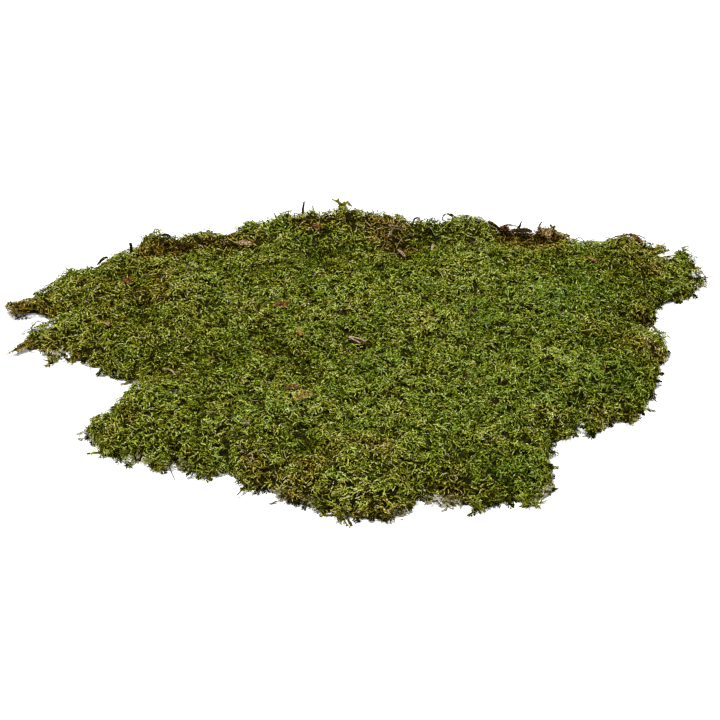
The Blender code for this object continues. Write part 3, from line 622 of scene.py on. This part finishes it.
def leaf_mesh(name, corner, mark, material):
    """A mesh of folded leaves from their four corners each: foot, left, tip, right."""
    corner = corner.reshape(-1, 4, 3)
    leaves = len(corner)
    mesh = bpy.data.meshes.new(name)
    mesh.vertices.add(leaves * 4)
    mesh.vertices.foreach_set("co", (corner * MM).astype(np.float32).ravel())
    base = np.arange(leaves)[:, None] * 4
    loops = (base + np.array([0, 3, 1, 1, 3, 2])).ravel()
    mesh.loops.add(len(loops))
    mesh.loops.foreach_set("vertex_index", loops.astype(np.int32))
    mesh.polygons.add(leaves * 2)
    mesh.polygons.foreach_set("loop_start", np.arange(0, leaves * 6, 3, dtype=np.int32))
    uv = mesh.uv_layers.new(name="OFBake")
    uv.data.foreach_set("uv", mark.reshape(-1, 2)[loops].astype(np.float32).ravel())
    mesh.update(calc_edges=True)
    mesh.materials.append(material)
    return link(mesh)


def kind_of(place):
    """Which colour of moss grows where: 0 deep green, 0.5 bright, 0.68 yellow, 0.9 brown."""
    x = place[:, 0]
    y = place[:, 1]
    kind = 0.40 + 0.09 * smooth_noise(x, y, 45.0, 2.0) + 0.10 * smooth_noise(x, y, 15.0, 5.0)
    kind += near(place, COLOUR_PATCHES, PATCH_REACH)
    kind += 0.08 * np.exp(-(place[:, 2] / 4.0) ** 2)
    return np.minimum(kind, 0.90)


def tuft_shoots(sheet):
    """Shoots in small cushions: upright in the middle, bending out and down round the edge."""
    middle = sheet.scatter(TUFTS, sheet.upper)[0]
    height = vary(0, 0.5, TUFTS)
    nearest = finder(middle)
    place, normal = sheet.scatter(TUFT_SHOOTS, sheet.upper)
    found = [nearest.find(point) for point in place]
    owner = np.array([item[1] for item in found])
    far = np.array([item[2] for item in found]) / TUFT_REACH
    away = place - middle[owner]
    count = TUFT_SHOOTS
    return dict(
        place=place,
        normal=normal,
        heading=np.arctan2(away[:, 1], away[:, 0]) + vary(0, 0.9, count),
        length=spread(4.5, 8.0, count),
        rise=np.clip(48.0 - 38.0 * far, 3.0, 60.0) + vary(0, 16.0, count),
        hook=spread(20.0, 95.0, count),
        sweep=vary(0, 60.0, count),
        sink=(TUFT_DOME * far ** 2 - TUFT_RISE - height[owner] + np.abs(vary(0, 0.8, count))
              + SLOPE_SINK * (1.0 - normal[:, 2])),
        tint=vary(0, 0.06, TUFTS)[owner] + vary(0, 0.06, count),
    )


def frond_shoots(sheet):
    """Creeping fronds: a stem in three lengths with short side shoots to the left and right."""
    root, normal = sheet.scatter(FRONDS, sheet.top)
    drift = smooth_noise(root[:, 0], root[:, 1], 38.0, 9.0)
    heading = (drift * 2.2 + vary(0, 0.9, FRONDS)) * math.pi
    turn = np.radians(vary(0, 18.0, FRONDS))
    size = spread(0.75, 1.25, FRONDS)
    sink = spread(-1.2, 0.6, FRONDS)
    tint = vary(0, 0.07, FRONDS)
    sides = unit(np.cross(normal, level(heading)))
    ahead = np.cross(sides, normal)
    parts = []
    for step in range(STEMS + SIDE_SHOOTS):
        stem = step < STEMS
        along = STEM_STEP * step if stem else 1.2 + SIDE_STEP * (step - STEMS)
        left = 1 if step % 2 else -1
        bend = turn * along / 4.0
        offset = ahead * np.cos(bend / 2)[:, None] + sides * np.sin(bend / 2)[:, None]
        opened = 0.0 if stem else left * np.radians(58.0)
        parts.append(dict(
            place=root + offset * (along * size)[:, None],
            normal=normal,
            heading=heading + bend + opened + vary(0, 0.12, FRONDS),
            length=size * (4.2 if stem else 4.0 - 0.25 * (step - STEMS)),
            rise=vary(12.0, 6.0, FRONDS),
            hook=vary(30.0 if stem else 55.0, 14.0, FRONDS),
            sweep=-vary(0 if stem else 25.0 * left, 10.0, FRONDS),
            sink=sink + (0.0 if stem else 0.35),
            tint=tint + vary(0, 0.02, FRONDS),
        ))
    fronds = joined(parts)
    ground = [sheet.height(x, y) for x, y, _ in fronds["place"]]
    on = np.array([z is not None for z in ground])
    fronds["place"][on, 2] = [z for z in ground if z is not None]
    return only(fronds, on)


def edge_shoots(sheet):
    """Shoots that close the torn edge, bending out and down to the ground."""
    place, normal = sheet.scatter(EDGE_SHOOTS, sheet.wall)
    count = EDGE_SHOOTS
    out = np.arctan2(normal[:, 1], normal[:, 0])
    return dict(
        place=place,
        normal=normal,
        heading=out + vary(0, 0.9, count),
        length=spread(3.0, 5.5, count),
        rise=spread(10.0, 60.0, count),
        hook=spread(30.0, 110.0, count),
        sweep=vary(0, 45.0, count),
        sink=spread(1.0, 3.0, count),
        tint=vary(0.04, 0.07, count),
    )


def fringe_shoots(sheet):
    """Small fronds that stick out of the torn edge all round and droop towards the ground."""
    root, normal = sheet.scatter(FRINGE, sheet.wall)
    heading = np.arctan2(normal[:, 1], normal[:, 0]) + vary(0, 0.5, FRINGE)
    ahead = level(heading)
    reach = np.clip(RNG.gamma(2.0, 1.3, FRINGE), 1.5, FRINGE_REACH)
    droop = np.tan(np.radians(spread(2.0, 40.0, FRINGE)))
    lying = unit(0.35 * ahead + np.array([0.0, 0.0, 1.0]))
    tint = vary(0.06, 0.07, FRINGE)
    parts = []
    for step in range(int(FRINGE_REACH / FRINGE_STEP)):
        along = FRINGE_STEP * step - FRINGE_ROOT
        place = root + ahead * along
        place[:, 2] = np.maximum(root[:, 2] - droop * max(along, 0.0), 0.9)
        for side in (-1, 0, 1):
            held = along < (reach if side else reach - 1.0)
            taper = np.clip(1.0 - along / reach, 0.0, 1.0)
            parts.append(only(dict(
                place=place,
                normal=lying,
                heading=heading + side * np.radians(spread(30.0, 60.0, FRINGE)),
                length=(1.4 + 1.8 * taper) * spread(0.7, 1.2, FRINGE),
                rise=vary(8.0, 10.0, FRINGE),
                hook=vary(35.0, 20.0, FRINGE),
                sweep=vary(-20.0 * side, 20.0, FRINGE),
                sink=spread(1.2, 2.2, FRINGE),
                tint=tint + vary(0, 0.02, FRINGE),
            ), held))
    return joined(parts)


def clump_shoots():
    """Short shoots that point every way from the middles of the standing lumps."""
    spots = repeated(CLUMPS)
    count = len(spots)
    away = unit(vary(0, 1, (count, 3)))
    away[:, 2] = np.abs(away[:, 2]) - 0.2
    return dict(
        place=spots[:, :3] + away * spots[:, 3:],
        normal=unit(away + np.array([0.0, 0.0, 0.4])),
        heading=spread(-math.pi, math.pi, count),
        length=spread(2.0, 3.6, count),
        rise=spread(0.0, 40.0, count),
        hook=spread(20.0, 90.0, count),
        sweep=vary(0, 60.0, count),
        sink=spread(-0.4, 1.0, count),
        tint=vary(0, 0.08, count),
    )


def cover_shoots(sheet):
    """Shoots that start beside the caught bits and reach over them."""
    parts = []
    covers = [("split_needle", NEEDLE_COVER)] + [(node, bit[1]) for node, bit in BITS.items()]
    for node, cover in covers:
        outline = corners_of(node)
        middle = outline.mean(0)
        size = outline.max(0) - outline.min(0)
        count = int(cover * 2.0 * (size[0] + size[1]))
        chosen = outline[RNG.integers(0, len(outline), count)]
        inward = np.arctan2(middle[1] - chosen[:, 1], middle[0] - chosen[:, 0])
        inward += vary(0, 0.7, count)
        place = chosen - 2.4 * level(inward)
        place[:, 2] = chosen[:, 2] + vary(0.3, 0.35, count)
        on = np.array([sheet.height(x, y) is not None for x, y, _ in place], bool)
        parts.append(only(dict(
            place=place,
            normal=np.tile([0.0, 0.0, 1.0], (count, 1)),
            heading=inward,
            length=spread(2.8, 4.6, count),
            rise=spread(10.0, 50.0, count),
            hook=spread(20.0, 90.0, count),
            sweep=vary(0, 40.0, count),
            sink=np.zeros(count),
            tint=vary(0, 0.07, count),
        ), on))
    return joined(parts)


def leaves_on(spine, forward, upward, kind, bright, scale=1.0, stand=1.0):
    """Leaves set alternately left, right and on top of each spine, bent over at their tips."""
    shoots, leaves = spine.shape[:2]
    side = np.cross(forward, upward)
    t = (np.arange(leaves) + 0.5) / leaves
    turn = np.radians(np.array(LEAF_TURNS)[np.arange(leaves) % len(LEAF_TURNS)])
    turn = (turn + vary(0, TURN_CHANGE, (shoots, leaves)))[..., None]
    lean = stand * np.radians(LEAN_AT_FOOT + (LEAN_AT_TIP - LEAN_AT_FOOT) * t)
    lean = (lean + vary(0, LEAN_CHANGE, (shoots, leaves)))[..., None]
    out = np.cos(turn) * upward + np.sin(turn) * side
    along = np.cos(lean) * forward + np.sin(lean) * out
    across = unit(np.cross(along, out))
    size = scale * (1.0 - LEAF_TAPER * t) * spread(0.8, 1.2, (shoots, leaves))
    long = (LEAF_LENGTH * size)[..., None]
    wide = (0.5 * LEAF_WIDTH * size)[..., None]
    foot = spine + 0.1 * out
    middle = foot + along * long * LEAF_FOLD
    bent = unit(along - LEAF_BEND * out - 0.25 * upward)
    tip = middle + bent * long * (1 - LEAF_FOLD)
    corner = np.stack([foot, middle - across * wide, tip, middle + across * wide], 2)
    corner[..., 2] = np.maximum(corner[..., 2], FLOOR_GAP + 0.3 * RNG.random(corner.shape[:3]))
    # Each leaf's tone: its shoot's, painted shade towards the foot, and a random change.
    leaf_tone_and_shade = bright - FOOT_SHADE * (1 - t) + vary(0, LEAF_CHANGE, (shoots, leaves))
    # Painted glints: a few leaves made much lighter.
    leaf_tone_and_shade += np.where(RNG.random((shoots, leaves)) < GLINTS, GLINT_LIGHT, 0.0)
    own = kind[:, None] + 0 * t
    kinds = np.stack([own - SIDE_BROWN, own, own, own + SIDE_BROWN], 2)
    # Painted light on the top of each shoot and painted shade on its flanks, from where each corner
    # sits.
    off = corner - spine[:, :, None]
    lift = (off * upward[:, :, None]).sum(-1)
    aside = np.abs((off * side[:, :, None]).sum(-1))
    tone = leaf_tone_and_shade[..., None] + LEAF_LIGHT + (CROWN_LIGHT * lift - FLANK_SHADE * aside) / (scale * stand)
    # Painted highlight on each leaf's tip.
    tone[:, :, 2] += TIP_LIGHT
    return corner, np.clip(np.stack([kinds, tone], -1), 0.01, 0.99)


def bleached_lit_leaves(material):
    """Pale old shoots, flat on the ground, that show under the torn edge; their paleness is partly
    painted light coming through it.
    """
    spots = repeated(BLEACHED_LIT_SPOTS)
    count = len(spots)
    beside = spots[:, :2] + 0.5 * spots[:, 2:] * vary(0, 1, (count, 2))
    spine, forward, upward = shoot_spines(dict(
        place=np.concatenate([beside, spread(1.5, 6.5, count)[:, None]], 1),
        normal=np.tile(unit(np.array([0.0, -1.0, 1.0])), (count, 1)),
        heading=np.radians(vary(-90.0, 60.0, count)),
        length=spread(3.0, 6.0, count),
        rise=spread(0.0, 15.0, count),
        hook=spread(5.0, 30.0, count),
        sweep=vary(0, 30.0, count),
        sink=np.zeros(count),
    ))
    kind = RNG.random(count)
    bright = vary(BLEACHED_LIT_TONE, 0.15, (count, 1))
    corner, mark = leaves_on(spine, forward, upward, kind, bright, BLEACHED_LIT_SIZE, BLEACHED_LIT_STAND)
    return leaf_mesh("bleached_lit_leaves", corner, mark, material)


def moss_shoots(sheet, material):
    """All the shoots of the mat, coloured and given painted shade and light, as one piece for each
    band.
    """
    groups = {"tuft": tuft_shoots(sheet), "frond": frond_shoots(sheet), "edge": edge_shoots(sheet),
              "fringe": fringe_shoots(sheet), "cover": cover_shoots(sheet), "clump": clump_shoots()}
    shoots = joined(list(groups.values()))
    shoots["group"] = np.repeat(list(groups), [len(group["sink"]) for group in groups.values()])
    kept = RNG.random(len(shoots["sink"])) > near(shoots["place"], LACY)
    shoots = only(shoots, kept | (shoots["group"] == "clump"))
    count = len(shoots["sink"])
    shoots["sink"] += HOLLOW_SINK * near(shoots["place"], HOLLOWS)
    odd = RNG.random(count)
    old = odd < OLD_SHOOTS
    rim = np.exp(-(sheet.from_edge(shoots["place"]) / RIM_WIDTH) ** 2)
    kind = kind_of(shoots["place"]) + shoots["tint"] + OLD_BROWN * old
    # Painted shade: the deeper a shoot sits, the darker it is.
    bright = SHOOT_TONE - SINK_SHADE * np.clip(shoots["sink"], -0.5, 1.6)
    bright += vary(0, SHOOT_CHANGE, count)
    bright += FRESH_LIGHT * (odd > 1 - FRESH_SHOOTS) - OLD_SHADE * old
    # Painted shade along the back rim, on fronds at the rim and on the fringe.
    shade = BACK_SHADE * (shoots["place"][:, 1] > BACK_SIDE)
    shade += FROND_SHADE * (shoots["group"] == "frond")
    bright -= np.maximum(shade * rim, FRINGE_SHADE * (shoots["group"] == "fringe"))
    bright -= BROWN_SHADE * np.maximum(kind - 0.50, 0.0)
    kind += RIM_BROWN * rim
    spine, forward, upward = shoot_spines(shoots)
    # Painted shade in the hollows and painted light on the swells, at each leaf.
    hollow = near(spine, HOLLOWS)
    bright = bright[:, None] - np.where(hollow > 0, HOLLOW_SHADE, SWELL_SHADE) * hollow
    corner, mark = leaves_on(spine, forward, upward, kind, bright)
    under = ((spine - shoots["place"][:, None]) * shoots["normal"][:, None]).sum(-1)
    seen = under > -BED_DEPTH - 0.3  # leaves that lie under the bed are left out
    bands = np.linspace(sheet.place[:, 0].min(), sheet.place[:, 0].max(), len(BANDS) + 1)
    owner = np.clip(np.searchsorted(bands, shoots["place"][:, 0]) - 1, 0, len(BANDS) - 1)
    made = []
    for index, name in enumerate(BANDS):
        chosen = seen & (owner == index)[:, None]
        made.append(leaf_mesh(name, corner[chosen], mark[chosen], material))
    return made


def curve_through(points, count):
    """Points spaced along a smooth line through the given ones, with its direction at each."""
    points = np.array(points, float)
    padded = np.concatenate([2 * points[:1] - points[1:2], points, 2 * points[-1:] - points[-2:-1]])
    t = np.linspace(0, len(points) - 1, count)
    i = np.minimum(t.astype(int), len(points) - 2)
    f = (t - i)[:, None]
    p0, p1, p2, p3 = (padded[i + k] for k in range(4))
    place = 0.5 * (2 * p1 + (p2 - p0) * f + (2 * p0 - 5 * p1 + 4 * p2 - p3) * f ** 2
                   + (3 * p1 - p0 - 3 * p2 + p3) * f ** 3)
    return place, unit(np.gradient(place, axis=0))


def single_sprigs(material):
    """The sprigs that stand clear of the mat, each along its own line."""
    corners = []
    marks = []
    for kind, scale, *points in SPRIGS:
        spine, forward = curve_through(points, SPRIG_JOINTS)
        away = unit(np.cross(forward, np.array([0.3, 1.0, 0.2])))
        upward = np.cross(away, forward)
        for turned in (upward, -upward):
            corner, mark = leaves_on(spine[None], forward[None], turned[None], np.array([kind]),
                                     np.array([[SPRIG_TONE]]), SPRIG_SIZE * scale, SPRIG_STAND)
            corners.append(corner[0])
            marks.append(mark[0])
    return leaf_mesh("single_sprigs", np.concatenate(corners), np.concatenate(marks), material)


def tube_mesh(name, strands, material, sides=5, rings=9):
    """Round strands that narrow from one end to the other, closed at both ends."""
    work = bmesh.new()
    for thick, thin, *points in strands:
        place, forward = curve_through(points, rings)
        across = unit(np.cross(forward, np.array([0.21, 0.35, 0.91])))
        upward = np.cross(across, forward)
        last = None
        for step in range(rings):
            radius = thick + (thin - thick) * step / (rings - 1)
            turn = np.arange(sides) * 2 * math.pi / sides
            rim = place[step] + radius * (np.cos(turn)[:, None] * across[step]
                                          + np.sin(turn)[:, None] * upward[step])
            rim[:, 2] = np.maximum(rim[:, 2], FLOOR_GAP)
            ring = [work.verts.new(Vector(point) * MM) for point in rim]
            if last:
                for k in range(sides):
                    work.faces.new((last[k], last[(k + 1) % sides], ring[(k + 1) % sides], ring[k]))
            else:
                work.faces.new(ring[::-1])
            last = ring
        work.faces.new(last)
    mesh = bpy.data.meshes.new(name)
    bmesh.ops.recalc_face_normals(work, faces=work.faces)
    work.to_mesh(mesh)
    work.free()
    mesh.materials.append(material)
    for face in mesh.polygons:
        face.use_smooth = True
    return link(mesh)


def loose_strands(sheet, count):
    """Short curved strands that lie on the moss, as runs of points."""
    place = sheet.scatter(count, sheet.top)[0]
    heading = spread(0, 2 * math.pi, count)
    strands = []
    for point, turn in zip(place, heading):
        length = spread(5.0, 13.0)
        bend = vary(0, 0.5)
        lift = spread(-0.4, 1.6)
        run = []
        for step in (-0.5, -0.17, 0.17, 0.5):
            angle = turn + bend * step * 2
            x = point[0] + length * step * math.cos(angle)
            y = point[1] + length * step * math.sin(angle)
            z = sheet.height(x, y)
            if z is None:
                break
            run.append((x, y, z + lift - 2.2 * abs(step) + vary(0, 0.3)))
        if len(run) == 4:
            strands.append((spread(0.16, 0.34), 0.12, *run))
    return strands


def moss_bed(sheet, material):
    """The bed under the shoots, dark brown deepened to near black with painted shade: the sheet's own
    form, a few millimetres lower.
    """
    low = sheet.place.min(0)
    high = sheet.place.max(0)
    columns = int((high[0] - low[0]) / BED_STEP) + 1
    rows = int((high[1] - low[1]) / BED_STEP) + 1
    work = bmesh.new()
    grid = {}
    for i in range(columns + 1):
        for j in range(rows + 1):
            x = low[0] + i * BED_STEP
            y = low[1] + j * BED_STEP
            probes = BED_PROBES if y < BACK_RIM else BED_PROBES[:1]
            around = [sheet.height(x + dx, y + dy) for dx, dy in probes]
            if around[0] is not None and near(np.array([x, y]), LACY) < BED_GAPS:
                z = min(0.0 if ground is None else ground for ground in around)
                grid[i, j] = work.verts.new(Vector((x, y, max(1.0, z - BED_DEPTH))) * MM)
    for i, j in list(grid):
        ring = [grid.get(key) for key in ((i, j), (i + 1, j), (i + 1, j + 1), (i, j + 1))]
        if None not in ring:
            work.faces.new(ring)
    loose = [vert for vert in work.verts if not vert.link_faces]
    bmesh.ops.delete(work, geom=loose, context="VERTS")
    mesh = bpy.data.meshes.new("moss_bed")
    work.to_mesh(mesh)
    work.free()
    mesh.materials.append(material)
    bed = link(mesh)
    thick = bed.modifiers.new("thick", "SOLIDIFY")
    thick.thickness = BED_THICKNESS * MM
    thick.offset = -1.0
    return bed


def weathered(node, looks, look, rough, size, thin, *ends):
    """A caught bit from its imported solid: thinner, with a torn outline and a crumpled surface."""
    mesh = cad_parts[node].data.copy()
    mesh.name = node + "_look"
    work = bmesh.new()
    work.from_mesh(mesh)
    bmesh.ops.remove_doubles(work, verts=work.verts, dist=0.00001)
    bmesh.ops.subdivide_edges(work, edges=work.edges, cuts=2, use_grid_fill=True)
    work.normal_update()
    moved = [vert.co - thin * MM * Vector((vert.normal.x, vert.normal.y, 0.3 * vert.normal.z))
             for vert in work.verts]
    for vert, place in zip(work.verts, moved):
        mark = place / (size * MM)
        crease = noise.noise_vector(mark) + 0.45 * noise.noise_vector(mark * 2.3)
        vert.co = place + crease * rough * MM
        vert.co.z = max(vert.co.z, FLOOR_GAP * MM)
    for end, (_, turn, share) in enumerate(ends, 1):
        ahead_x = math.cos(math.radians(turn))
        ahead_y = math.sin(math.radians(turn))
        along = [vert.co.x * ahead_x + vert.co.y * ahead_y for vert in work.verts]
        start = max(along) - share * (max(along) - min(along))
        for face in work.faces:
            middle = face.calc_center_median()
            if middle.x * ahead_x + middle.y * ahead_y > start:
                face.material_index = end
    work.to_mesh(mesh)
    work.free()
    mesh.materials.clear()
    for name in [look] + [end[0] for end in ends]:
        mesh.materials.append(looks[name])
    return link(mesh)


def split_needle(looks):
    """The split needle: two pale prongs from one foot, with the dark heart between them."""
    middle = corners_of("split_needle").mean(0)
    turn = math.radians(NEEDLE_TURN)
    ahead = np.array([math.cos(turn), math.sin(turn), 0.0])
    aside = np.array([-math.sin(turn), math.cos(turn), 0.0])
    pieces = []
    for look, thick, thin, runs in NEEDLE:
        strands = [(thick, thin, *(middle + a * ahead + b * aside + [0.0, 0.0, c] for a, b, c in run))
                   for run in runs]
        pieces.append(tube_mesh("split_needle_" + look, strands, looks[look]))
    return pieces


def floor():
    """A pale sheet of paper under the mat."""
    bpy.ops.mesh.primitive_plane_add(size=FLOOR_SIZE)
    ground = bpy.context.object
    ground.name = "floor"
    ground.data.materials.append(mottled("floor_paper", 0.9, 30.0, [
        (0.3, (0.80, 0.80, 0.80)), (0.7, (0.82, 0.82, 0.82)),
    ], 0.01, 0.5))


def lights():
    """The sun from above and a little to the left, and the white room around."""
    data = bpy.data.lights.new("key_light", "SUN")
    data.energy = SUN
    data.angle = SUN_WIDTH
    lamp = link(data)
    lamp.location = SUN_FROM
    lamp.rotation_euler = (-SUN_FROM).to_track_quat("-Z", "Y").to_euler()
    world = bpy.data.worlds.new("soft_room")
    bpy.context.scene.world = world
    world.use_nodes = True
    background = world.node_tree.nodes["Background"]
    background.inputs["Color"].default_value = (1.0, 1.0, 1.0, 1.0)
    background.inputs["Strength"].default_value = ROOM_LIGHT


def camera():
    """The photo's view."""
    data = bpy.data.cameras.new("photo_view")
    data.lens = FOCAL_LENGTH
    data.sensor_width = SENSOR
    data.clip_end = 50.0
    view = link(data)
    back = Vector((0.0, -math.cos(VIEW_HEIGHT), math.sin(VIEW_HEIGHT)))
    view.location = VIEW_TARGET + VIEW_DISTANCE * back
    view.rotation_euler = (-back).to_track_quat("-Z", "Y").to_euler()
    bpy.context.scene.camera = view


def settle(piece, slot, *nodes):
    """Every piece lies on the one body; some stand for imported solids."""
    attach(piece, "root")
    if nodes:
        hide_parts(*nodes)


def main():
    """Everything in the scene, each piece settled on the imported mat."""
    bpy.context.scene.view_settings.view_transform = "Standard"
    sheet = Sheet()
    camera()
    floor()
    lights()
    leaf = moss_material()
    looks = {look: mottled(*values) for look, values in LOOKS.items()}
    settle(moss_bed(sheet, looks["bed"]), "moss_green", "moss_mat")
    for piece in moss_shoots(sheet, leaf):
        settle(piece, "moss_green", "moss_mat")
    settle(single_sprigs(leaf), "moss_green")
    settle(bleached_lit_leaves(bleached_lit_material()), "moss_green")
    loose = loose_strands(sheet, LOOSE_FIBRES)
    settle(tube_mesh("dark_fibres", DARK_FIBRES + loose[::3], looks["dark"]), "twig")
    pale = PALE_FIBRES + loose[1::3] + loose[2::3]
    settle(tube_mesh("pale_fibres", pale, looks["straw"]), "straw")
    for piece in split_needle(looks):
        settle(piece, "bark_pale", "split_needle")
    for node, (slot, _, *form) in BITS.items():
        settle(weathered(node, looks, *form), slot, node)


main()
